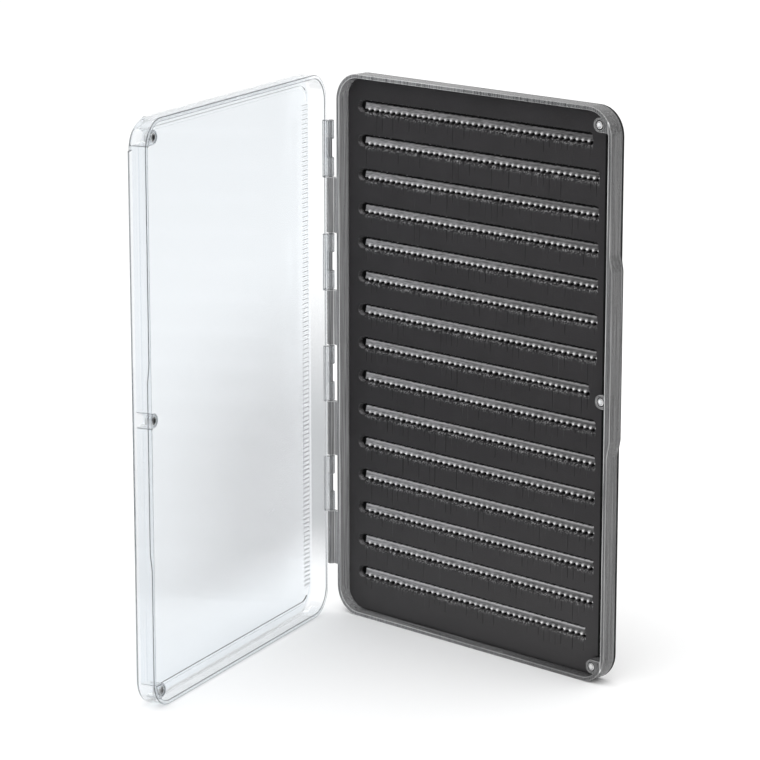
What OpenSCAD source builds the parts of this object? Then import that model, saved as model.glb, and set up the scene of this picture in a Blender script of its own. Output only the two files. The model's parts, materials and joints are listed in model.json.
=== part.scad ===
// Slim pocket fly box: a moulded tray with a slotted foam insert and a clear lid,
// joined along one long side by a steel pin and held shut by small disc magnets.
// It stands on its short ends with the lid swung open. X runs across the tray away from
// the hinge, Y runs from the tray's rim to its back, Z runs up the long side. The origin
// is the middle of the flat end face that the tray stands on.

/* [Case] */
// Width of each half, from the hinge wall to the free wall
case_w = 114; // [90:0.5:150]
// Length of each half, which is the height as it stands
case_l = 178; // [150:0.5:220]
// Depth of the tray from rim to back
tray_d = 6.7; // [6:0.1:12]
// Depth of the lid from rim to outer face
lid_d = 6.5; // [5:0.1:12]
// Radius of the four corners
corner_r = 9; // [6:0.5:16]
// Rounding where the walls meet the broad outer faces
edge_r = 1.2; // [0.6:0.1:2]
// Wall thickness of the tray and the lid
wall_t = 1.3; // [1:0.1:2]
// Thickness of the tray's floor
tray_floor_t = 1.1; // [0.8:0.1:2]
// Thickness of the lid's window
lid_floor_t = 1.2; // [0.8:0.1:2]
// Gap left between the two rims when the case is shut
rim_gap = 0.1; // [0.05:0.01:0.3]

/* [Hinge] */
// Angle between the two halves as the case stands open
open_angle = 72.2; // [20:0.1:180]
// Distance from the pin's centre to the outer face of the hinge wall
pin_reach = 2.5; // [2:0.1:4]
// Diameter of the steel pin
pin_d = 1.2; // [1:0.1:1.6]
// Outer diameter of the moulded knuckles
knuckle_d = 2.5; // [2.4:0.1:3.2]
// Length of the whole row of knuckles
hinge_l = 147; // [100:1:150]
// Number of knuckles, shared between the lid and the tray in turn
knuckle_n = 8; // [4:2:12]
// Gap between one knuckle and the next
knuckle_gap = 0.3; // [0.1:0.05:0.5]
// Radial play of the pin in the tray's knuckles
tray_pin_play = 0.02; // [0.01:0.01:0.05]
// Radial play of the pin in the lid's knuckles
lid_pin_play = 0.06; // [0.02:0.01:0.1]
// Thickness of the closed end below the pin
pin_stop_t = 0.8; // [0.5:0.1:2]

/* [Thumb tabs] */
// Length of each thumb tab on the free walls, ramps included
tab_l = 62; // [30:1:70]
// Height of the tab off the wall
tab_h = 1; // [0.5:0.1:2]
// Length of the ramp at each end of a tab
tab_ramp = 5; // [2:0.5:10]
// Distance of each tab's centre from the middle of the case
tab_offset = 14; // [5:0.5:30]

/* [Magnets] */
// Diameter of the disc magnets
magnet_d = 3; // [2:0.1:4]
// Thickness of the disc magnets
magnet_t = 2.5; // [1.5:0.1:3]
// Radial play of a magnet in its seat
magnet_play = 0.02; // [0.01:0.01:0.05]
// Outer diameter of the bosses that hold the magnets
boss_d = 4.4; // [4:0.1:6]
// How far the bosses stop short of the rim
boss_drop = 0.1; // [0.05:0.05:0.5]
// Corner magnets' distance from the free wall's outer face
corner_magnet_x = 4.9; // [4.5:0.1:9]
// Corner magnets' distance from the ends of the case
corner_magnet_z = 5.3; // [4.5:0.1:9]
// Middle magnets' distance from the free wall's outer face
middle_magnet_x = 2.8; // [2.8:0.1:6]

/* [Foam insert] */
// Depth of the foam's face below the tray's rim
foam_drop = 3.4; // [2.5:0.1:5]
// Gap between the foam's edge and the walls and bosses
foam_gap = 0.3; // [0.1:0.1:1]
// Thickness of the adhesive sheet under the foam
glue_t = 0.15; // [0.1:0.05:0.3]
// Number of rows of slots
row_n = 15; // [6:1:16]
// Distance from one row to the next
row_pitch = 10.95; // [9:0.05:11]
// Height of a row's lip above the lower end for the lowest row
first_lip_z = 12.6; // [10:0.1:16]
// Height of a row's pocket above its lip
pocket_h = 3.7; // [2:0.1:5]
// Depth of a row's pocket at its upper edge
pocket_depth = 1.5; // [0.8:0.1:1.6]
// Distance from the hinge wall's outer face to a row's near end
row_start = 7.6; // [5:0.1:12]
// Distance from the free wall's outer face to a row's far end
row_stop = 7.4; // [5:0.1:12]
// How much the rows beside a magnet are shortened
row_cut_back = 2.8; // [0:0.1:6]

/* [Lid border] */
// Distance of the raised border from the lid's outer faces
border_inset = 3.7; // [3:0.1:8]
// Width of the raised border round the free side and both ends
border_w = 0.9; // [0.5:0.1:3]
// Height of the border and its teeth off the window
border_h = 0.4; // [0.2:0.05:0.8]
// Distance of the row of teeth from the hinge wall's outer face
comb_inset = 3.4; // [3:0.1:8]
// Length of the teeth, measured across the lid
comb_w = 3.8; // [1:0.1:6]
// Distance from one tooth to the next
tooth_pitch = 1.49; // [1:0.01:3]
// Width of one tooth
tooth_w = 0.75; // [0.4:0.05:0.9]
// Diameter of the round gate mark on the window
gate_d = 1.4; // [0.8:0.1:3]
// Distance of the gate mark from the hinge wall's outer face
gate_x = 65; // [20:1:95]
// Height of the gate mark above the lower end
gate_z = 26.7; // [20:0.1:160]

/* [Hidden] */

$fn = 64;
// Overlap that makes two shapes fuse into one solid
bite = 0.4;
// Overlap of a half barrel with its web, across the pin's centre line
barrel_lap = 0.2;
// Cutters run this far past the faces they cut
past = 1;

// The origin, seen from the tray's rim at its hinge-side wall
origin_x = case_w / 2;
origin_y = (tray_d - edge_r) / 2;

pin_r = pin_d / 2;
knuckle_r = knuckle_d / 2;
axis_x = -pin_reach;
axis_y = -rim_gap / 2;
knuckle_step = hinge_l / knuckle_n;
hinge_z0 = (case_l - hinge_l) / 2;
boss_r = boss_d / 2;
inner_w = case_w - 2 * wall_t;
inner_l = case_l - 2 * wall_t;
inner_r = corner_r - wall_t;

// Magnet places in each half: distance across the case, then height
magnet_top = [case_w - corner_magnet_x, case_l - corner_magnet_z];
magnet_middle = [case_w - middle_magnet_x, case_l / 2];
magnet_bottom = [case_w - corner_magnet_x, corner_magnet_z];
magnet_places = [magnet_top, magnet_middle, magnet_bottom];

foam_t = tray_d - tray_floor_t - glue_t - foam_drop;
foam_inset = wall_t + foam_gap;
foam_r = corner_r - foam_inset;
middle_row = floor((row_n - 1) / 2);

// Flat drawings lie with the width along X, the length along Y and the depth along Z.
// Tray drawings stand up with their depth towards the back.
module stand_tray() {
    translate([-origin_x, -origin_y, 0])
        mirror([0, 1, 0])
            rotate([90, 0, 0])
                children();
}

// Lid drawings stand up facing the tray, then swing open about the pin
module stand_lid() {
    translate([axis_x - origin_x, axis_y - origin_y, 0])
        rotate([0, 0, -open_angle])
            translate([-axis_x, -axis_y - rim_gap, 0])
                rotate([90, 0, 0])
                    children();
}

// Rectangle with round corners, its lower left corner at inset, inset
module round_rect(w, l, r, inset) {
    translate([inset, inset]) {
        translate([r, 0]) square([w - 2 * r, l]);
        translate([0, r]) square([w, l - 2 * r]);
        for (x = [r, w - r], y = [r, l - r])
            translate([x, y]) circle(r);
    }
}

// Profile of a corner, turned about the corner's centre, with a round outer edge
module corner_profile(depth) {
    square([corner_r - edge_r, depth]);
    square([corner_r, depth - edge_r]);
    intersection() {
        translate([corner_r - edge_r, depth - edge_r]) circle(edge_r);
        square([corner_r, depth]);
    }
}

// Solid outer form of one half, rim at zero, with its back edges rounded
module half_block(depth) {
    linear_extrude(depth - edge_r)
        round_rect(case_w, case_l, corner_r, 0);
    linear_extrude(depth)
        round_rect(case_w - 2 * edge_r, case_l - 2 * edge_r, corner_r - edge_r, edge_r);
    for (x = [corner_r, case_w - corner_r], y = [corner_r, case_l - corner_r])
        translate([x, y, 0]) rotate_extrude() corner_profile(depth);
    for (x = [edge_r, case_w - edge_r])
        translate([x, corner_r, depth - edge_r])
            rotate([-90, 0, 0]) cylinder(r = edge_r, h = case_l - 2 * corner_r);
    for (y = [edge_r, case_l - edge_r])
        translate([corner_r, y, depth - edge_r])
            rotate([0, 90, 0]) cylinder(r = edge_r, h = case_w - 2 * corner_r);
}

// Thumb tab on the free wall, with a ramp at each end
module thumb_tab(depth, middle) {
    half = tab_l / 2;
    linear_extrude(depth - edge_r)
        translate([case_w, middle])
            polygon([[-bite, -half], [0, -half], [tab_h, tab_ramp - half],
                     [tab_h, half - tab_ramp], [0, half], [-bite, half]]);
}

// Outline round the magnets, reach away from their centres, that runs on to the free wall
module magnet_outline(reach) {
    for (place = magnet_places)
        translate(place) {
            circle(reach);
            translate([0, -reach]) square([case_w - place[0], 2 * reach]);
        }
}

// Seat for a magnet, open towards the rim
module magnet_seat(place) {
    translate([place[0], place[1], boss_drop - past])
        cylinder(r = magnet_d / 2 + magnet_play, h = magnet_t + past);
}

module magnet(place) {
    translate([place[0], place[1], boss_drop])
        cylinder(d = magnet_d, h = magnet_t);
}

// One half of the case without its hinge: walls, floor, tab and magnet bosses
module half_shell(depth, floor_t, tab_middle) {
    difference() {
        union() {
            difference() {
                union() {
                    half_block(depth);
                    thumb_tab(depth, tab_middle);
                }
                translate([0, 0, -past])
                    linear_extrude(depth - floor_t + past)
                        round_rect(inner_w, inner_l, inner_r, wall_t);
            }
            translate([0, 0, boss_drop])
                linear_extrude(depth - floor_t / 2 - boss_drop)
                    intersection() {
                        magnet_outline(boss_r);
                        round_rect(case_w - wall_t, case_l - wall_t,
                                   corner_r - wall_t / 2, wall_t / 2);
                    }
        }
        for (place = magnet_places)
            magnet_seat(place);
    }
}

// Web that carries a knuckle on the outside of the hinge wall. It lies between the
// rim and the knuckle's lowest point, from the pin's centre line to inside the wall.
module knuckle_web(z0, length) {
    translate([axis_x, z0, 0])
        cube([pin_reach + bite, length, knuckle_r]);
}

// Half of a barrel along the pin. side is 1 for the half beyond the rim, -1 for the
// half on the same side as the walls.
module half_barrel(z0, length, side) {
    intersection() {
        translate([axis_x, z0, -rim_gap / 2])
            rotate([-90, 0, 0]) cylinder(d = knuckle_d, h = length);
        translate([axis_x - knuckle_d, z0, side > 0 ? barrel_lap - knuckle_d : -rim_gap / 2])
            cube([2 * knuckle_d, length, knuckle_d]);
    }
}

module pin_bore(z0, length, play) {
    translate([axis_x, z0, -rim_gap / 2])
        rotate([-90, 0, 0]) cylinder(r = pin_r + play, h = length);
}

// The tray's knuckles are whole barrels, and the lowest one is closed below the pin
module tray_knuckles() {
    difference() {
        for (i = [0 : 2 : knuckle_n - 1]) {
            z0 = hinge_z0 + i * knuckle_step + knuckle_gap / 2;
            length = knuckle_step - knuckle_gap;
            knuckle_web(z0, length);
            translate([axis_x, z0, -rim_gap / 2])
                rotate([-90, 0, 0]) cylinder(d = knuckle_d, h = length);
        }
        pin_bore(hinge_z0 + knuckle_gap / 2 + pin_stop_t, hinge_l, tray_pin_play);
    }
}

// Each of the lid's knuckles is three half barrels, which hold the pin from
// opposite sides in turn and leave it bare in the middle
module lid_knuckles() {
    difference() {
        for (i = [1 : 2 : knuckle_n - 1]) {
            z0 = hinge_z0 + i * knuckle_step + knuckle_gap / 2;
            length = knuckle_step - knuckle_gap;
            knuckle_web(z0, length);
            for (part = [0 : 2])
                half_barrel(z0 + part * length / 3, length / 3, part == 1 ? -1 : 1);
        }
        pin_bore(hinge_z0, hinge_l, lid_pin_play);
    }
}

// Lip height of a row, counted from the lowest
function lip_z(row) = first_lip_z + row * row_pitch;

// Far end of a row: the rows beside a magnet stop short
function row_end(row) =
    case_w - row_stop
    - (row == 0 || row == middle_row || row == row_n - 1 ? row_cut_back : 0);

// Cutter for one pocket: shallow at the lip, deep at the upper edge, with round ends
module pocket(row) {
    x0 = row_start;
    x1 = row_end(row);
    end_r = pocket_h / 2;
    intersection() {
        translate([x0 - past, lip_z(row), foam_drop])
            rotate([90, 0, 90])
                linear_extrude(x1 - x0 + 2 * past)
                    polygon([[0, 0], [pocket_h, pocket_depth], [pocket_h, -past], [-past, -past]]);
        translate([0, 0, foam_drop - past])
            linear_extrude(pocket_depth + 2 * past) {
                translate([x0 + end_r, lip_z(row)]) square([x1 - x0 - 2 * end_r, pocket_h]);
                for (x = [x0 + end_r, x1 - end_r])
                    translate([x, lip_z(row) + end_r]) circle(end_r);
            }
    }
}

// Outline of the foam and its adhesive, cut away round the magnet bosses and between
// the corner bosses and the corners
module foam_outline() {
    difference() {
        round_rect(case_w - 2 * foam_inset, case_l - 2 * foam_inset, foam_r, foam_inset);
        magnet_outline(boss_r + foam_gap);
        translate(magnet_top) square([corner_magnet_x, corner_magnet_z]);
        translate([magnet_bottom[0], 0]) square([corner_magnet_x, corner_magnet_z]);
    }
}

// Row of teeth along X from the origin, width long, standing off the window towards
// the rim
module teeth(length, width) {
    tooth_n = floor(length / tooth_pitch);
    profile = [for (i = [0 : tooth_n - 1], corner = [[0, 0], [0, border_h],
                                                     [tooth_w, border_h], [tooth_w, 0]])
                   [i * tooth_pitch, 0] + corner];
    rotate([-90, 0, 0])
        linear_extrude(width)
            polygon(concat([[0, -bite]], profile, [[length, 0], [length, -bite]]));
}

// Raised border on the inside of the window: a narrow strip round the free side, both
// ends and the corners, and a row of teeth along the hinge side
module lid_border(face) {
    bend = corner_r - border_inset;
    run_z = case_l - 2 * corner_r;
    inner_inset = border_inset + border_w;
    difference() {
        translate([0, 0, face - border_h])
            linear_extrude(border_h + bite)
                difference() {
                    round_rect(case_w - 2 * border_inset, case_l - 2 * border_inset,
                               bend, border_inset);
                    round_rect(case_w - 2 * inner_inset, case_l - 2 * inner_inset,
                               bend - border_w, inner_inset);
                }
        translate([0, corner_r, face - border_h - past])
            cube([corner_r, run_z, border_h + past]);
    }
    translate([comb_inset + comb_w, corner_r, face])
        rotate([0, 0, 90]) teeth(run_z, comb_w);
}

// Smoke-grey tray, moulded in one piece with its knuckles and magnet bosses
module base_tray() {
    color([0.45, 0.45, 0.46])
        stand_tray() {
            half_shell(tray_d, tray_floor_t, case_l / 2 + tab_offset);
            tray_knuckles();
        }
}

// Clear lid, moulded in one piece with its knuckles, bosses, border and teeth
module lid_shell() {
    face = lid_d - lid_floor_t;
    color([0.86, 0.9, 0.93, 0.4])
        stand_lid() {
            half_shell(lid_d, lid_floor_t, case_l / 2 - tab_offset);
            lid_knuckles();
            lid_border(face);
            translate([gate_x, gate_z, face - border_h / 2])
                cylinder(d = gate_d, h = border_h / 2 + bite);
        }
}

// Steel pin, pushed in from the top until it meets the closed end of the lowest knuckle
module hinge_pin() {
    foot = hinge_z0 + knuckle_gap / 2 + pin_stop_t;
    color([0.3, 0.31, 0.33])
        translate([axis_x - origin_x, axis_y - origin_y, foot])
            cylinder(d = pin_d, h = hinge_z0 + hinge_l - knuckle_gap / 2 - foot);
}

// Dark foam sheet with its rows of slotted pockets
module foam_insert() {
    color([0.22, 0.22, 0.22])
        stand_tray()
            difference() {
                translate([0, 0, foam_drop]) linear_extrude(foam_t) foam_outline();
                for (row = [0 : row_n - 1])
                    pocket(row);
            }
}

// Double-sided sheet that holds the foam to the tray's floor
module foam_adhesive() {
    color([0.75, 0.75, 0.7])
        stand_tray()
            translate([0, 0, foam_drop + foam_t])
                linear_extrude(glue_t) foam_outline();
}

module base_magnet(place) {
    color([0.78, 0.78, 0.8]) stand_tray() magnet(place);
}

module lid_magnet(place) {
    color([0.12, 0.12, 0.13]) stand_lid() magnet(place);
}

base_tray();
lid_shell();
hinge_pin();
foam_insert();
foam_adhesive();
base_magnet(magnet_top);  // base_magnet_top
base_magnet(magnet_middle);  // base_magnet_middle
base_magnet(magnet_bottom);  // base_magnet_bottom
lid_magnet(magnet_top);  // lid_magnet_top
lid_magnet(magnet_middle);  // lid_magnet_middle
lid_magnet(magnet_bottom);  // lid_magnet_bottom
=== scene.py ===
import json
import math

import bmesh
import bpy
import numpy as np
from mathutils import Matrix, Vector


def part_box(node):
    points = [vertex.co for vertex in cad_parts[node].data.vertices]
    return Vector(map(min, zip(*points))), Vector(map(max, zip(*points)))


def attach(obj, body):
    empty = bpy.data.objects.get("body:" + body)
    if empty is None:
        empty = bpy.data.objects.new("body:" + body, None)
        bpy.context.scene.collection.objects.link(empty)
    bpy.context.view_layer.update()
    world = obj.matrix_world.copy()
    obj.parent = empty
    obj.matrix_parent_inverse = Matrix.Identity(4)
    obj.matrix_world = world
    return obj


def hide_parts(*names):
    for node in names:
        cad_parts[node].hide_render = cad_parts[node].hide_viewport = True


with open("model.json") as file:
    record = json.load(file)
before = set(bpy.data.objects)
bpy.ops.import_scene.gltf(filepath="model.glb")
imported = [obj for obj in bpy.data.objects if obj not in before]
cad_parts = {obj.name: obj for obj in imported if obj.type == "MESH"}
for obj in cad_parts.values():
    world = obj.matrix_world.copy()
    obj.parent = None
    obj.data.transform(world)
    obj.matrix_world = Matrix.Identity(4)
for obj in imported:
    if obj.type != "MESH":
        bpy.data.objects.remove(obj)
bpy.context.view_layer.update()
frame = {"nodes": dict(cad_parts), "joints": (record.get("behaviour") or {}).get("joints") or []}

# Tray. Smoke-grey translucent plastic, moulded in one piece with its outer knuckles, thumb
# tab and magnet bosses. The walls carry fine mould lines, and the inside is satin.

CREASE = math.radians(35)
SHARP = math.radians(38)
BROAD = 0.0011
SAME_TURN = 0.82
LOOKS_UP = 0.7
MERGE = 0.000002
TRAY_EASE = 0.00022
TRAY_SHELL = frame["nodes"]["base_tray"].data.vertices
BACK_AT = max(v.co.y for v in TRAY_SHELL if v.co.x > 0)
RIM_AT = min(v.co.y for v in TRAY_SHELL if v.co.x > 0)
LIP_HIGHLIGHT_X = (0.0553, 0.0555, 0.0560, 0.0562)
OUTLINE_SHADE_Y = (0.00168, 0.00158)
GLINT_Y = (0.0024, 0.0021)
NEAR_BLACK = (0.01, 0.01, 0.01, 1)
SMOKE_SHADE = (0.08, 0.08, 0.08, 1)


class Wire:
    """A socket of a material. Arithmetic on it adds Math nodes and gives the result."""

    def __init__(self, finish, socket):
        self.finish = finish
        self.socket = socket

    def maths(self, operation, *values):
        return self.finish.node("ShaderNodeMath", {"operation": operation}, dict(enumerate(values)))

    def __add__(self, other):
        return self.maths("ADD", self, other)

    def __sub__(self, other):
        return self.maths("SUBTRACT", self, other)

    def __rsub__(self, other):
        return self.maths("SUBTRACT", other, self)

    def __mul__(self, other):
        return self.maths("MULTIPLY", self, other)

    __radd__ = __add__
    __rmul__ = __mul__


class Finish:
    """The node tree of one material, or of the studio's surroundings."""

    def __init__(self, name, world=False):
        self.owner = bpy.data.worlds.new(name) if world else bpy.data.materials.new(name)
        self.owner.use_nodes = True
        self.tree = self.owner.node_tree
        self.tree.nodes.clear()
        ending = "ShaderNodeOutputWorld" if world else "ShaderNodeOutputMaterial"
        self.end = self.tree.nodes.new(ending)

    def node(self, kind, settings=None, sockets=None, out=0):
        """Adds a node: its settings first, then a value or a Wire for each socket named."""
        made = self.tree.nodes.new(kind)
        for key, value in (settings or {}).items():
            if key == "stops":
                ramp = made.color_ramp
                while len(ramp.elements) < len(value):
                    ramp.elements.new(0.5)
                for element, (place, level) in zip(ramp.elements, value):
                    element.position = place
                    element.color = (level, level, level, 1)
            else:
                setattr(made, key, value)
        for key, value in (sockets or {}).items():
            if isinstance(value, Wire):
                self.tree.links.new(value.socket, made.inputs[key])
            else:
                made.inputs[key].default_value = value
        return Wire(self, made.outputs[out])

    def place(self):
        return self.node("ShaderNodeTexCoord", out="Object")

    def facing(self):
        """Direction the surface faces, in the piece's own frame."""
        return self.node("ShaderNodeTexCoord", out="Normal")

    def split(self, vector, axis):
        return self.node("ShaderNodeSeparateXYZ", {}, {0: vector}, out=axis)

    def size(self, value):
        return self.node("ShaderNodeMath", {"operation": "ABSOLUTE"}, {0: value})

    def noise(self, size, detail=3, stretch=(1, 1, 1)):
        """Cloudy pattern whose lumps are about size metres across, drawn out by stretch."""
        scaled = self.node("ShaderNodeMapping", {}, {
            "Vector": self.place(), "Scale": [1 / (size * s) for s in stretch]})
        return self.node("ShaderNodeTexNoise", {},
                         {"Vector": scaled, "Scale": 1.0, "Detail": detail})

    def mix(self, share, first, second):
        return self.node("ShaderNodeMix", {"data_type": "RGBA"},
                         {"Factor": share, "A": first, "B": second}, out="Result")

    def bump(self, height, reach, strength=1.0):
        return self.node("ShaderNodeBump", {},
                         {"Strength": strength, "Distance": reach, "Height": height})

    def ease(self, value, start, end):
        """0 at start and 1 at end, eased between them."""
        return self.node("ShaderNodeMapRange", {"interpolation_type": "SMOOTHSTEP"},
                         {0: value, 1: start, 2: end, 3: 0.0, 4: 1.0})

    def surface(self, **sockets):
        named = {key.replace("_", " "): value for key, value in sockets.items()}
        return self.node("ShaderNodeBsdfPrincipled", {}, named)

    def close(self, shader):
        self.tree.links.new(shader.socket, self.end.inputs["Surface"])
        return self.owner


def mould_relief(f):
    """Fine lines that the mould leaves along the walls: up the long sides, and along the
    end walls, whose faces point up and down. Gives the lines and their relief."""
    upright = f.noise(0.0004, detail=2, stretch=(1, 1, 60))
    level = f.noise(0.0004, detail=2, stretch=(60, 1, 1))
    ends = f.size(f.split(f.facing(), "Z"))
    lines = f.node("ShaderNodeMapRange", {}, {0: f.mix(ends, upright, level), 1: 0.36, 2: 0.64})
    return lines, f.bump(f.noise(0.0006, detail=2) * 0.4 + lines * 0.6, 0.00001, 0.5)


def see_through(f, colour):
    """Passes what is behind unbent, in the colour given."""
    return f.node("ShaderNodeBsdfTransparent", {}, {"Color": colour})


def blend(f, share, first, second):
    """The first surface where share is 0, and the second where it is 1."""
    return f.node("ShaderNodeMixShader", {}, {0: share, 1: first, 2: second})


def pass_lamps(f, surface, shade):
    """Lets lamp light through a surface in the colour shade."""
    lamp_ray = f.node("ShaderNodeLightPath", out="Is Shadow Ray")
    return blend(f, lamp_ray, surface, see_through(f, shade))


def lean_normals(work):
    """A normal for each corner of each face. A face wider than BROAD keeps its own. A
    narrower one, such as those that round an edge, takes the normal of a broad face that
    it meets there, and else the mean of those it meets, weighted by area."""
    spans = [face.calc_area() for face in work.faces]
    wide = [2 * span / face.calc_perimeter() > BROAD for span, face in zip(spans, work.faces)]
    corners = []
    for face in work.faces:
        for vert in face.verts:
            near = [other for other in vert.link_faces if other.normal.dot(face.normal) > SAME_TURN]
            flats = [other for other in near if wide[other.index]]
            if wide[face.index]:
                lean = face.normal
            elif flats:
                lean = max(flats, key=lambda other: other.normal.dot(face.normal)).normal
            else:
                lean = sum((other.normal * spans[other.index] for other in near), Vector())
                lean = lean.normalized()
            corners.append(lean.copy())
    return corners


def eased_copy(node, name, body, width, materials, fine=None):
    """Replaces a node by a copy whose sharp edges are eased by width. The eased edges
    take the second material. Where fine, a function of a point, is true, the edges stay
    sharp and the faces that look up take the third."""
    mesh = frame["nodes"][node].data.copy()
    mesh.materials.clear()
    work = bmesh.new()
    work.from_mesh(mesh)
    bmesh.ops.remove_doubles(work, verts=work.verts, dist=MERGE)
    bmesh.ops.dissolve_limit(work, angle_limit=0.005, verts=work.verts, edges=work.edges)
    sharp = [e for e in work.edges if e.is_manifold and e.calc_face_angle() > SHARP]
    if fine:
        sharp = [e for e in sharp if not all(fine(v.co) for v in e.verts)]
        for face in work.faces:
            looks_up = face.normal.z > LOOKS_UP
            face.material_index = 2 * int(looks_up and all(fine(v.co) for v in face.verts))
    bmesh.ops.bevel(work, geom=sharp, offset=width, offset_type="OFFSET", segments=2, profile=0.5,
                    affect="EDGES", clamp_overlap=False, material=1)
    bmesh.ops.recalc_face_normals(work, faces=work.faces)
    work.faces.index_update()
    work.to_mesh(mesh)
    leaning = lean_normals(work)
    work.free()
    piece = add_piece(name, mesh, materials[0])
    for more in materials[1:]:
        mesh.materials.append(more)
    mesh.normals_split_custom_set(leaning)
    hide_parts(node)
    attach(piece, body)
    return piece


def add_piece(name, mesh, material):
    """Puts a finished mesh into the scene, shaded smooth except over sharp edges."""
    mesh.name = name
    piece = bpy.data.objects.new(name, mesh)
    bpy.context.scene.collection.objects.link(piece)
    mesh.materials.append(material)
    mesh.polygons.foreach_set("use_smooth", np.ones(len(mesh.polygons), dtype=bool))
    mesh.set_sharp_from_angle(angle=CREASE)
    return piece


def dress(node, material):
    """Gives a carried-over node its finish."""
    slots = frame["nodes"][node].data.materials
    slots.clear()
    slots.append(material)


def smoke(name, thin, thick, seen_through, rough):
    """Smoke plastic: cloudy in the colours thin to thick, and partly seen through. It is painted
    paler towards the hinge, as painted light shining through. It is painted near black where the
    walls round into the broad back, as painted shade. A painted highlight runs as a bright line
    beside that, and another along the inner edge of the free wall's rim."""
    f = Finish(name)
    lines, relief = mould_relief(f)
    deep = f.split(f.place(), "Y")
    off_back = f.ease(f.split(f.facing(), "Y"), 0.97, 0.8)
    # Painted shade: near black where the walls round into the broad back.
    bend = off_back * f.ease(deep, BACK_AT - OUTLINE_SHADE_Y[0], BACK_AT - OUTLINE_SHADE_Y[1])
    # Painted highlight: a bright line just inside the dark outline.
    glint = off_back * f.ease(deep, BACK_AT - GLINT_Y[0], BACK_AT - GLINT_Y[1])
    across = f.split(f.place(), "X")
    # Painted highlight: bright along the inner edge of the free wall's rim.
    lip = (f.ease(deep, RIM_AT + 0.0005, RIM_AT + 0.0002)
           * f.ease(across, LIP_HIGHLIGHT_X[0], LIP_HIGHLIGHT_X[1]) * f.ease(across, LIP_HIGHLIGHT_X[3], LIP_HIGHLIGHT_X[2]))
    # Painted light: the colour is paler towards the hinge. The glint and lip lighten it as painted
    # highlights.
    level = 0.76 + 0.62 * f.ease(across, 0.045, -0.045) + 0.25 * glint + 1.6 * lip
    colour = f.node("ShaderNodeVectorMath", {"operation": "SCALE"},
                    {0: f.mix(lines, thick, thin), "Scale": level})
    cloudy = f.surface(Base_Color=colour, Roughness=rough + 0.16 * f.noise(0.009, detail=5),
                       Normal=relief)
    clear = f.surface(Base_Color=seen_through, Roughness=0.2, IOR=1.5, Transmission_Weight=1.0,
                      Normal=relief)
    dark = f.node("ShaderNodeBsdfDiffuse", {}, {"Color": NEAR_BLACK})
    surface = blend(f, 0.95 * bend, blend(f, 0.65, clear, cloudy), dark)
    return f.close(pass_lamps(f, surface, SMOKE_SHADE))


tray = eased_copy("base_tray", "smoke_tray", "tray", TRAY_EASE, [
    smoke("smoke_plastic", thin=(0.29, 0.29, 0.292, 1), thick=(0.12, 0.12, 0.122, 1),
          seen_through=(0.62, 0.62, 0.63, 1), rough=0.16),
    # The eased edges take a paler copy of the plastic: painted highlight along the edges.
    smoke("smoke_edge_highlight", thin=(0.7, 0.7, 0.7, 1), thick=(0.35, 0.35, 0.35, 1),
          seen_through=(0.8, 0.8, 0.8, 1), rough=0.16)])

# Adhesive sheet. Thin double-sided film between the foam and the tray's floor, seen only
# as a pale line through the tray.

f = Finish("adhesive_film")
dress("foam_adhesive", f.close(f.surface(
    Base_Color=f.mix(f.noise(0.004, detail=4), (0.09, 0.09, 0.085, 1), (0.13, 0.128, 0.12, 1)),
    Roughness=0.4 + 0.3 * f.noise(0.002),
    Normal=f.bump(f.noise(0.0015), 0.00003))))

# Foam insert. One sheet of dark closed-cell foam with fifteen rows. Each row is a sloping tongue in
# a round-ended pocket, slit every few millimetres and notched along its lip. The skin is painted a
# little paler low down, as painted light, and carries a painted shadow, a near-black band, along
# the tray's free wall. Holes and slots are painted near black as painted shade, and crests and tips
# are painted bright as painted highlights.

FOAM_LO, FOAM_HI = (Vector(corner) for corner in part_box("foam_insert"))
ROW_N = 15
ROW_PITCH = 0.01095
FIRST_LIP = 0.0126
LIP_AT = 0.0006
CREST_AT = 0.00266
CREST_W = 0.0003
SLOT_TOP = 0.00362
POCKET_DEPTH = 0.00125
WELL_DEPTH = 0.00175
WELL_X = -0.0488
WELL_P = 0.0015
WELL_R = 0.0019
TONGUE_X = -0.0476
ROW_STOP = 0.0496
ROW_CUT_BACK = 0.0028
SLIT_PITCH = 0.00233
SLIT_START = -0.0470
SLIT_LENGTH = 0.0055
SLIT_DEPTH = 0.0004
NOTCH_AT = 0.00045
NOTCH_W = 0.00080
NOTCH_H = 0.00050
NOTCH_DEPTH = 0.0013
TIP_RISE = 0.00012
FOAM_CORNER_R = 0.0074
BOSS_REACH = 0.0025
BOSSES = [(0.0521, 0.1727), (0.0542, 0.089), (0.0521, 0.0053)]


def soft_step(value, edge, width):
    """0 below edge, 1 above edge + width, with a smooth rise between."""
    t = np.clip((value - edge) / width, 0, 1)
    return t * t * (3 - 2 * t)


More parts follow.
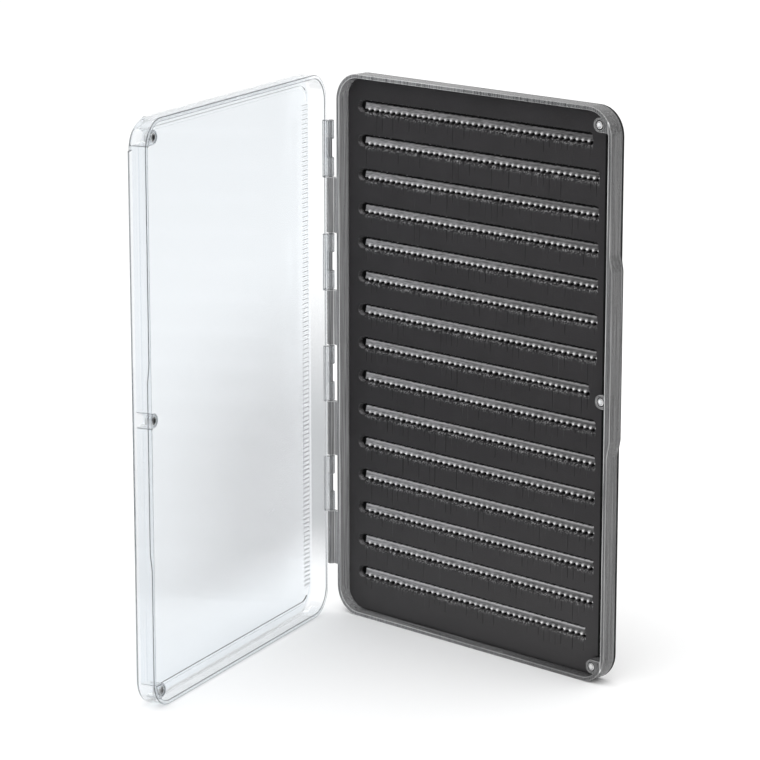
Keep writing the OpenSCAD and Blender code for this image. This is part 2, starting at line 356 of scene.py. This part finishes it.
def foam_lines():
    """Grid lines across and up the foam: close together where the tongues and notches
    turn, and far apart on the flat bands."""
    notch = np.array([-0.5, -0.36, -0.26, -0.05, 0, 0.05, 0.26, 0.36]) * SLIT_PITCH
    slit_n = int((ROW_STOP - SLIT_START) / SLIT_PITCH)
    across = (SLIT_START + np.arange(slit_n + 1)[:, None] * SLIT_PITCH + notch).ravel()
    ends = np.concatenate([np.linspace(WELL_X - WELL_R - 0.0002, TONGUE_X + 0.0003, 22),
                           np.linspace(ROW_STOP - ROW_CUT_BACK - 0.002, ROW_STOP + 0.0004, 16)])
    sides = np.concatenate([np.linspace(FOAM_LO.x, FOAM_LO.x + FOAM_CORNER_R, 12),
                            np.linspace(FOAM_HI.x - FOAM_CORNER_R, FOAM_HI.x, 14)])
    step = np.array([-6.6, -4.4, -2.8, -1.7, -1.25, -0.95, -0.7, -0.45, -0.2, 0.02,
                     0.2, 0.4, 0.58, 0.75, 0.9, 1.05, 1.25, 1.7, 2.14, 2.34,
                     2.48, 2.6, 2.72, 2.89, 3.44, 3.62, 3.76]) / 1000
    up = (FIRST_LIP + np.arange(ROW_N)[:, None] * ROW_PITCH + step).ravel()
    corners = np.concatenate([np.linspace(FOAM_LO.z, FOAM_LO.z + FOAM_CORNER_R, 12),
                              np.linspace(FOAM_HI.z - FOAM_CORNER_R, FOAM_HI.z, 12),
                              BOSSES[1][1] + BOSS_REACH * np.sin(np.linspace(-1.57, 1.57, 15))])
    xs = np.unique(np.concatenate([across, ends, sides]).round(6))
    zs = np.unique(np.concatenate([up, corners]).round(6))
    xs = xs[np.concatenate([[True], np.diff(xs) > 0.00003])]
    zs = zs[np.concatenate([[True], np.diff(zs) > 0.00003])]
    return xs[(xs >= FOAM_LO.x) & (xs <= FOAM_HI.x)], zs[(zs >= FOAM_LO.z) & (zs <= FOAM_HI.z)]


def foam_edges(z):
    """Left and right edge of the foam at height z: straight sides, round corners, and
    round bites with a straight mouth where the magnet bosses stand."""
    rise = np.maximum(0, np.maximum(FOAM_LO.z + FOAM_CORNER_R - z, z - FOAM_HI.z + FOAM_CORNER_R))
    rise = np.minimum(rise, FOAM_CORNER_R)
    turn = FOAM_CORNER_R - np.sqrt(np.maximum(0, FOAM_CORNER_R ** 2 - rise ** 2))
    left = FOAM_LO.x + turn
    right = FOAM_HI.x - turn
    for i, (bx, bz) in enumerate(BOSSES):
        past = z - bz
        if i != 1:
            past = np.where((past > 0) == (i == 0), 0, past)
        inside = np.abs(past) < BOSS_REACH
        bite = bx - np.sqrt(np.maximum(0, BOSS_REACH ** 2 - past ** 2))
        right = np.where(inside, np.minimum(right, bite), right)
    return left, right


def foam_rows(x, z):
    """Depth of the foam's face at x, z, and how far it is cut open, painted near black as shade,
    and torn or painted bright as a highlight there, each from 0 to 1. The paler colour of cut faces
    is partly the open cells and partly painted light. From its lip, a tongue slopes down to a
    crest, with a deep slot between the crest and the band above. A round well ends the slot on the
    left. Oval notches bite into the lip, tips painted bright as highlights stand between them, and
    a shallow slit of uneven length runs down from each."""
    row = np.clip(np.floor((z - FIRST_LIP + ROW_PITCH * 0.62) / ROW_PITCH), 0, ROW_N - 1)
    p = z - FIRST_LIP - row * ROW_PITCH
    short = (row == 0) | (row == ROW_N - 1) | (row == (ROW_N - 1) // 2)
    stop = ROW_STOP - ROW_CUT_BACK * short
    ragged = 0.00006 * (np.sin(2300 * x + 2.4 * row) + np.sin(5100 * x + 5.3 * row))
    half = (SLOT_TOP - LIP_AT) / 2
    up = np.abs(p + ragged - LIP_AT - half)
    past_end = np.maximum(0, x - stop + half)
    out = np.where(past_end > 0, np.hypot(past_end, up), up) - half
    bed = (1 - soft_step(out, -0.00006, 0.00008)) * (x > WELL_X)
    slope = POCKET_DEPTH * np.clip((p - LIP_AT) / (CREST_AT - LIP_AT), 0, 1)
    tongue = soft_step(x, TONGUE_X - 0.6 * slope, 0.0001)
    slot = soft_step(p + ragged, CREST_AT, 0.0001)
    floor_depth = np.where(slot > 0, slope + (WELL_DEPTH - slope) * slot, slope)
    well_r = np.hypot(x - WELL_X, p - WELL_P)
    well = (1 - soft_step(well_r, WELL_R - 0.0005, 0.0005)) * (1 - tongue)
    depth = np.maximum(bed * (floor_depth * tongue + WELL_DEPTH * (1 - tongue)), WELL_DEPTH * well)
    # Faces cut open are coloured paler: partly the open cells, partly painted light on the sloping
    # tongues and the well's wall.
    cut = np.maximum(bed, 0.6 * (well > 0.02))
    # Painted shade: the well's floor, the slot behind the crest and the notches are marked to go
    # near black.
    shade = soft_step(p - 0.4 * (x - WELL_X), WELL_P - 0.0006, 0.0012)
    behind = bed * np.maximum(slot, 1 - tongue) * (out < -0.0001)
    gap = np.maximum(behind, np.maximum(well > 0.85, 0.7 * shade * (well > 0.02)))
    along = x - SLIT_START
    slit = np.clip(np.round(along / SLIT_PITCH), 0, 63).astype(int)
    off = (along - slit * SLIT_PITCH) / SLIT_PITCH
    held = (x > TONGUE_X) & (x < stop + 0.0001)
    chance = np.random.default_rng(7).random((4, ROW_N, 64))[:, row.astype(int), slit]
    lean = off * SLIT_PITCH - 0.7 * (p - NOTCH_AT)
    reach = np.hypot(lean / NOTCH_W, (p - NOTCH_AT) / (NOTCH_H * (0.85 + 0.3 * chance[0])))
    notch = held * (1 - soft_step(reach, 0.8, 0.35))
    depth = np.maximum(depth, notch * NOTCH_DEPTH)
    below = (p < NOTCH_AT) & (p > NOTCH_AT - SLIT_LENGTH * chance[1])
    groove = held * below * (np.abs(off) < 0.02)
    depth = np.maximum(depth, groove * SLIT_DEPTH * chance[2])
    between = soft_step(np.abs(off), 0.22, 0.14)
    # Painted highlight on the tips between the notches.
    tip = held * np.exp(-((p - 0.00095) / 0.0003) ** 2) * between * (0.75 + 0.25 * chance[2])
    depth = depth - TIP_RISE * tip * (p < LIP_AT + 0.0004)
    speck = np.random.default_rng(11).random(x.shape)
    torn = held * (p < 0.0001) * np.exp(-((p + 0.0004) / 0.0006) ** 2) * (0.4 + 0.6 * chance[3])
    # Painted highlight along the crest, brighter in the lower rows.
    crest = tongue * (x < stop - 0.001) * np.exp(-((p - CREST_AT + 0.0001) / CREST_W) ** 2)
    crest = crest * (1 - row / 16)
    # Painted shade in the slits and torn pits; the pale threads are the fibres' own colour.
    pits = np.maximum(groove * 0.35 * chance[0], 0.8 * torn * (speck < 0.25))
    threads = np.maximum(0.3 * torn * (speck > 0.72), 0.05 * groove * chance[3])
    hole = np.maximum(np.maximum(notch, gap), pits)
    frayed = np.maximum(np.maximum(tip, 0.9 * crest), threads)
    return depth, cut, hole, frayed


def foam_sheet():
    """Face of the foam on a grid pulled in to the foam's outline, with straight sides
    and a flat back: closed all round."""
    xs, zs = foam_lines()
    x, z = np.meshgrid(xs, zs)
    left, right = foam_edges(z)
    x = np.clip(x, left, right)
    depth, cut, hole, frayed = foam_rows(x, z)
    rim = np.minimum(np.minimum(x - left, right - x), np.minimum(z - FOAM_LO.z, FOAM_HI.z - z))
    depth = np.maximum(depth, 0.00015 * (1 - soft_step(rim, 0, 0.0003)))
    verts = np.stack([x, FOAM_LO.y + TIP_RISE + depth, z], axis=-1).reshape(-1, 3)
    n_z, n_x = x.shape
    corner = (np.arange(n_z - 1)[:, None] * n_x + np.arange(n_x - 1)).ravel()
    quads = np.stack([corner, corner + 1, corner + n_x + 1, corner + n_x], axis=-1)
    mesh = bpy.data.meshes.new("foam_rows")
    mesh.from_pydata(verts.tolist(), [], quads.tolist())
    for name, values in (("cut", cut), ("hole", hole), ("frayed", frayed)):
        shares = mesh.attributes.new(name, "FLOAT", "POINT").data
        shares.foreach_set("value", values.ravel().astype(np.float32))
    work = bmesh.new()
    work.from_mesh(mesh)
    bmesh.ops.remove_doubles(work, verts=work.verts, dist=MERGE)
    bmesh.ops.dissolve_degenerate(work, edges=work.edges, dist=0.0000005)
    edge = [e for e in work.edges if e.is_boundary]
    made = bmesh.ops.extrude_edge_only(work, edges=edge)["geom"]
    for v in made:
        if isinstance(v, bmesh.types.BMVert):
            v.co.y = FOAM_HI.y
    back = [e for e in made if isinstance(e, bmesh.types.BMEdge) and e.is_boundary]
    bmesh.ops.triangle_fill(work, edges=back, use_beauty=True)
    bmesh.ops.recalc_face_normals(work, faces=work.faces)
    work.to_mesh(mesh)
    work.free()
    return mesh


f = Finish("slit_foam")
cut = f.node("ShaderNodeAttribute", {"attribute_name": "cut"}, out="Fac")
hole = f.node("ShaderNodeAttribute", {"attribute_name": "hole"}, out="Fac")
frayed = f.node("ShaderNodeAttribute", {"attribute_name": "frayed"}, out="Fac")
cells = f.node("ShaderNodeTexVoronoi", {}, {"Vector": f.place(), "Scale": 3500.0}, out="Distance")
skin = f.mix(f.noise(0.012, detail=5), (0.026, 0.025, 0.026, 1), (0.038, 0.036, 0.038, 1))
# Painted light: the skin is paler low down, where more light falls.
skin = f.mix(f.ease(f.split(f.place(), "Z"), 0.08, -0.02), skin, (0.058, 0.056, 0.057, 1))
# Painted shadow: a near-black band along the free edge, where the tray's wall shades the foam.
free_edge_shadow = f.ease(f.split(f.place(), "X"), 0.0518, 0.0520)
skin = f.mix(free_edge_shadow, skin, (0.0005, 0.0005, 0.0005, 1))
# Cut faces are paler, partly as open cells are and partly as painted light: lighter on the left
# side and darker to the right.
rightward = f.split(f.place(), "X") * 10 + 0.47
fibres = f.node("ShaderNodeMapRange", {},
                {0: f.noise(0.0004, detail=3, stretch=(7, 1, 1)), 1: 0.3, 2: 0.7})
lit_cut_colour = f.mix(fibres, (0.12, 0.12, 0.12, 1), (0.42, 0.41, 0.42, 1))
shaded_cut_colour = f.mix(fibres, (0.03, 0.03, 0.03, 1), (0.13, 0.128, 0.13, 1))
open_cells_and_light = f.mix(f.node("ShaderNodeClamp", {}, {"Value": rightward}), lit_cut_colour, shaded_cut_colour)
# Painted highlight: crests and tips go near white; torn threads are paler too.
worked = f.mix(frayed, f.mix(cut, skin, open_cells_and_light), (1.0, 0.99, 1.0, 1))
foam_finish = f.close(f.surface(
    # Painted shade: holes, slots, slits and the well's floor go near black.
    Base_Color=f.mix(hole, worked, (0.001, 0.001, 0.001, 1)),
    Roughness=0.65 + 0.2 * cells,
    Specular_IOR_Level=0.15,
    Normal=f.bump(cells + f.noise(0.0009, detail=4), 0.00006, 0.6)))
foam = add_piece("foam_sheet", foam_sheet(), foam_finish)
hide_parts("foam_insert")
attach(foam, "tray")

# Tray magnets. Nickel-plated discs pressed into the bosses, with a rounded rim coloured near black:
# painted shade for the dark ring round the bright face.

MAGNET_T = 0.0025
RIM_R = 0.0007
DISH_DEPTH = 0.00004
PINHOLE_R = 0.00005


def turned(centre, axis, profile, steps=48):
    """Closed shape turned about axis through centre: the profile's points are radius and
    distance along the axis, and each is carried round a full circle."""
    axis = np.array(axis, float)
    side = np.cross(axis, [0, 0, 1])
    side /= np.linalg.norm(side)
    other = np.cross(axis, side)
    angle = np.arange(steps) * 2 * np.pi / steps
    ring = np.cos(angle)[:, None] * side + np.sin(angle)[:, None] * other
    radius, along = np.array(profile).T
    verts = centre + radius[:, None, None] * ring + along[:, None, None] * axis
    n = len(profile)
    i, j = np.meshgrid(np.arange(n - 1), np.arange(steps), indexing="ij")
    k = (j + 1) % steps
    low, high = i * steps, (i + 1) * steps
    quads = np.stack([low + j, low + k, high + k, high + j], -1).reshape(-1, 4)
    caps = [list(range(steps)), list(range((n - 1) * steps, n * steps))]
    mesh = bpy.data.meshes.new("turned")
    mesh.from_pydata(verts.reshape(-1, 3).tolist(), [], quads.tolist() + caps)
    work = bmesh.new()
    work.from_mesh(mesh)
    bmesh.ops.recalc_face_normals(work, faces=work.faces)
    work.to_mesh(mesh)
    work.free()
    return mesh


def disc_magnet(node, out, body, material, rim_material):
    """Disc with a rounded rim in the place of a magnet node; out points to its face. All
    but the flat face takes the rim's material."""
    lo, hi = (np.array(corner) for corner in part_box(node))
    radius = (hi[2] - lo[2]) / 2
    top = MAGNET_T / 2
    bend = np.linspace(0, np.pi / 2, 7)
    face = [(radius - RIM_R + RIM_R * math.cos(a), top - RIM_R + RIM_R * math.sin(a)) for a in bend]
    dish = [(radius * 0.62, top), (radius * 0.56, top - DISH_DEPTH), (PINHOLE_R, top - DISH_DEPTH)]
    profile = [(PINHOLE_R, -top), (radius, -top)] + face + dish
    mesh = turned((lo + hi) / 2, out, profile)
    piece = add_piece(node.replace("magnet", "disc"), mesh, material)
    mesh.materials.append(rim_material)
    normals = np.empty(len(mesh.polygons) * 3, np.float32)
    mesh.polygons.foreach_get("normal", normals)
    flat = normals.reshape(-1, 3) @ np.array(out, np.float32) > 0.9
    mesh.polygons.foreach_set("material_index", np.where(flat, 0, 1).astype(np.int32))
    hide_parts(node)
    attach(piece, body)


f = Finish("nickel_plate")
brushed = f.noise(0.0002, detail=3, stretch=(1, 1, 6))
nickel = f.close(f.surface(
    Base_Color=f.mix(f.noise(0.001), (0.72, 0.72, 0.74, 1), (0.86, 0.85, 0.83, 1)),
    Metallic=1.0,
    Roughness=0.16 + 0.18 * brushed,
    Normal=f.bump(brushed, 0.00001, 0.5)))
# Painted shade: the rim is coloured near black for the dark ring it shows.
f = Finish("nickel_rim_shade")
rim_shade_finish = f.close(f.surface(
    Base_Color=f.mix(f.noise(0.0008), (0.03, 0.03, 0.03, 1), (0.09, 0.09, 0.09, 1)),
    Metallic=0.7,
    Roughness=0.4 + 0.2 * f.noise(0.0003)))
for end in ("top", "middle", "bottom"):
    disc_magnet("base_magnet_" + end, (0, -1, 0), "tray", nickel, rim_shade_finish)

# Hinge pin. Drawn steel wire through all the knuckles, bare in the middle of each lid
# knuckle, with fine lines along its length.

f = Finish("drawn_steel")
drawn = f.noise(0.00012, detail=3, stretch=(1, 1, 80))
dress("hinge_pin", f.close(f.surface(
    Base_Color=f.mix(drawn, (0.16, 0.165, 0.17, 1), (0.34, 0.34, 0.35, 1)),
    Metallic=1.0,
    Roughness=0.26 + 0.2 * f.noise(0.003),
    Normal=f.bump(drawn, 0.00001, 0.6))))

# Lid. Clear moulded plastic in one piece with its knuckles, thumb tab, magnet posts and
# the raised border round the window. The window itself is bare and polished.

OPEN_ANGLE = math.radians(72.2)
LID_OUT = (math.sin(OPEN_ANGLE), math.cos(OPEN_ANGLE), 0)
LID_EASE = 0.00024
WINDOW_T = 0.0012
BORDER_TOP = 0.0017
SLACK = 0.00005
LID_SHELL = frame["nodes"]["lid_shell"].data.vertices
OUTER_FACE = min(v.co.dot(Vector(LID_OUT)) for v in LID_SHELL)
WALL_SHADE_TINT = (0.66, 0.67, 0.68, 1)
HAZE_SHADE_TINT = (0.72, 0.72, 0.74, 1)
MILK = (0.95, 0.955, 0.96, 1)
CLEAR_SHADE = (0.9, 0.92, 0.93, 1)


def clear(name, tint, bend_shade_tint, through, wall, straight, rough):
    """Clear plastic: refracts and reflects, with the share straight passing unbent, in the colour
    through at the window and wall elsewhere. It is painted darker where the walls round into the
    window's outer face, as painted shade. Low down and towards the hinge it is rougher and, as
    painted shade, greyer, and its walls there pass a duller grey as painted shade."""
    f = Finish(name)
    lines, relief = mould_relief(f)
    outward = f.node("ShaderNodeVectorMath", {"operation": "DOT_PRODUCT"},
                     {0: f.facing(), 1: [-c for c in LID_OUT]}, out="Value")
    # Painted shade: dark where the walls round into the window's outer face.
    bend = f.ease(outward, 0.04, 0.2) * f.ease(outward, 0.98, 0.9)
    pane = f.ease(f.size(outward), 0.9, 0.98)
    ends = f.ease(f.size(f.split(f.facing(), "Z")), 0.3, 0.9)
    across = f.split(f.place(), "X")
    height = f.split(f.place(), "Z")
    low = f.ease(height, 0.125, 0.055) * f.ease(height, 0.010, 0.034)
    # Rougher low down and towards the hinge. The grey tint there is painted shade from the dark
    # tray behind.
    haze_and_shade = pane * low * (0.35 + 0.85 * f.ease(across, -0.030, -0.056))
    # Painted shade: the walls pass a duller grey low down by the hinge.
    wall_shade = (1 - pane) * (1 - ends) * low * f.ease(across, -0.0545, -0.0565)
    body = f.mix(haze_and_shade, tint, HAZE_SHADE_TINT)
    hinge_x, hinge_y, _ = frame["joints"][0]["pos_m"]
    reach = f.node("ShaderNodeVectorMath", {"operation": "DISTANCE"}, {
        0: f.node("ShaderNodeCombineXYZ", {}, {"X": across, "Y": f.split(f.place(), "Y")}),
        1: (hinge_x, hinge_y, 0)}, out="Value")
    frosted = f.ease(reach, 0.0017, 0.0014)
    smears = f.noise(0.009, detail=5, stretch=(2, 2, 0.6))
    plastic = f.surface(
        Base_Color=f.mix(bend, body, bend_shade_tint),
        Roughness=rough * (0.6 + 0.8 * smears) + 0.2 * haze_and_shade,
        IOR=1.5,
        Transmission_Weight=1.0,
        Normal=relief)
    milky = f.surface(Base_Color=MILK, Roughness=0.3, Normal=relief)
    walls = blend(f, wall_shade, see_through(f, wall), see_through(f, WALL_SHADE_TINT))
    flat = blend(f, pane, walls, see_through(f, through))
    unbent = blend(f, bend, flat, see_through(f, bend_shade_tint))
    kept = straight - 0.35 * haze_and_shade - 0.25 * frosted - 0.35 * ends
    surface = blend(f, kept, blend(f, 0.4 * frosted, plastic, milky), unbent)
    return f.close(pass_lamps(f, surface, CLEAR_SHADE))


def in_border(point):
    """Whether a point lies on the raised border or its teeth, between the window's inner
    face and the border's top."""
    return WINDOW_T - SLACK < point.dot(Vector(LID_OUT)) - OUTER_FACE < BORDER_TOP


lid = eased_copy("lid_shell", "clear_lid", "lid", LID_EASE, [
    clear("clear_plastic", tint=(0.97, 0.985, 1.0, 1), bend_shade_tint=(0.36, 0.37, 0.38, 1),
          through=(0.912, 0.93, 0.945, 1), wall=(0.975, 0.98, 0.985, 1), straight=0.9, rough=0.03),
    # The eased edges take a darker copy of the plastic: painted shade along the edges.
    clear("clear_edge_shade", tint=(0.28, 0.29, 0.3, 1), bend_shade_tint=(0.2, 0.21, 0.22, 1),
          through=(0.22, 0.23, 0.24, 1), wall=(0.2, 0.21, 0.22, 1), straight=0.8, rough=0.1),
    clear("comb_shade", tint=(0.02, 0.02, 0.02, 1), bend_shade_tint=(0.02, 0.02, 0.02, 1),
          through=(0.02, 0.02, 0.02, 1), wall=(0.01, 0.01, 0.01, 1), straight=1.0, rough=0.3)],
    in_border)

# Lid magnets. Discs of the same size with a near-black face and bare sides, in posts that meet the
# tray's bosses.

f = Finish("near_black_face")
black = f.close(f.surface(
    Base_Color=f.mix(f.noise(0.0007), (0.006, 0.006, 0.007, 1), (0.014, 0.014, 0.015, 1)),
    Roughness=0.3 + 0.2 * f.noise(0.0004),
    Coat_Weight=0.3,
    Normal=f.bump(f.noise(0.0003), 0.00001, 0.4)))
f = Finish("bare_side")
pale_side = f.close(f.surface(
    Base_Color=f.mix(f.noise(0.0008), (0.6, 0.61, 0.62, 1), (0.75, 0.76, 0.77, 1)),
    Metallic=0.6,
    Roughness=0.35 + 0.2 * f.noise(0.0003)))
for end in ("top", "middle", "bottom"):
    disc_magnet("lid_magnet_" + end, LID_OUT, "lid", black, pale_side)

# Studio. A plain pale floor that runs out of sight, one broad soft lamp overhead and
# slightly in front, and pale surroundings.

FLOOR_R = 8.0
WHITE_LEVELS = [(0.0, 0.6), (0.5, 0.75), (0.66, 0.65), (0.85, 1.2), (1.0, 1.5)]
floor_corners = [(x * FLOOR_R, y * FLOOR_R, 0) for x, y in ((-1, -1), (1, -1), (1, 1), (-1, 1))]
floor_mesh = bpy.data.meshes.new("floor")
floor_mesh.from_pydata(floor_corners, [], [(0, 1, 2, 3)])
f = Finish("paper_floor")
paper = f.close(f.surface(Base_Color=(0.96, 0.96, 0.96, 1), Roughness=0.9, Specular_IOR_Level=0.1))
floor = add_piece("floor", floor_mesh, paper)


def soft_lamp(name, place, aim, size, power):
    """Square soft lamp that faces a point."""
    lamp = bpy.data.lights.new(name, "AREA")
    lamp.shape = "RECTANGLE"
    lamp.size, lamp.size_y = size
    lamp.energy = power
    holder = bpy.data.objects.new(name, lamp)
    holder.location = place
    holder.rotation_euler = (Vector(aim) - Vector(place)).to_track_quat("-Z", "Y").to_euler()
    bpy.context.scene.collection.objects.link(holder)


soft_lamp("overhead", (0.1, -0.35, 1.6), (0, 0, 0.05), (1.0, 0.7), 4)

f = Finish("surroundings", world=True)
upward = f.split(f.node("ShaderNodeTexCoord", out="Generated"), "Z")
sky = f.node("ShaderNodeValToRGB", {"stops": WHITE_LEVELS}, {0: upward * 0.5 + 0.5}, out="Color")
backdrop = f.node("ShaderNodeBackground", {}, {"Color": sky, "Strength": 1.0})
bpy.context.scene.world = f.close(backdrop)

# View. The camera stands where the photograph was taken from: in front and to the
# free side of the tray, a little above it, with a long lens.

CAMERA_PLACE = (0.68015, -0.74622, 0.32493)
CAMERA_TURN = math.radians(43.99)
CAMERA_DIP = math.radians(13.289)
LENS = 157.55
SENSOR_W = 36.0
NEAR_CLIP = 0.01
camera = bpy.data.objects.new("camera", bpy.data.cameras.new("camera"))
camera.data.sensor_width = SENSOR_W
camera.data.lens = LENS
camera.data.clip_start = NEAR_CLIP
camera.location = CAMERA_PLACE
camera.rotation_euler = (math.pi / 2 - CAMERA_DIP, 0, CAMERA_TURN)
bpy.context.scene.collection.objects.link(camera)
bpy.context.scene.camera = camera
bpy.context.scene.view_settings.view_transform = "Standard"

bpy.context.view_layer.update()
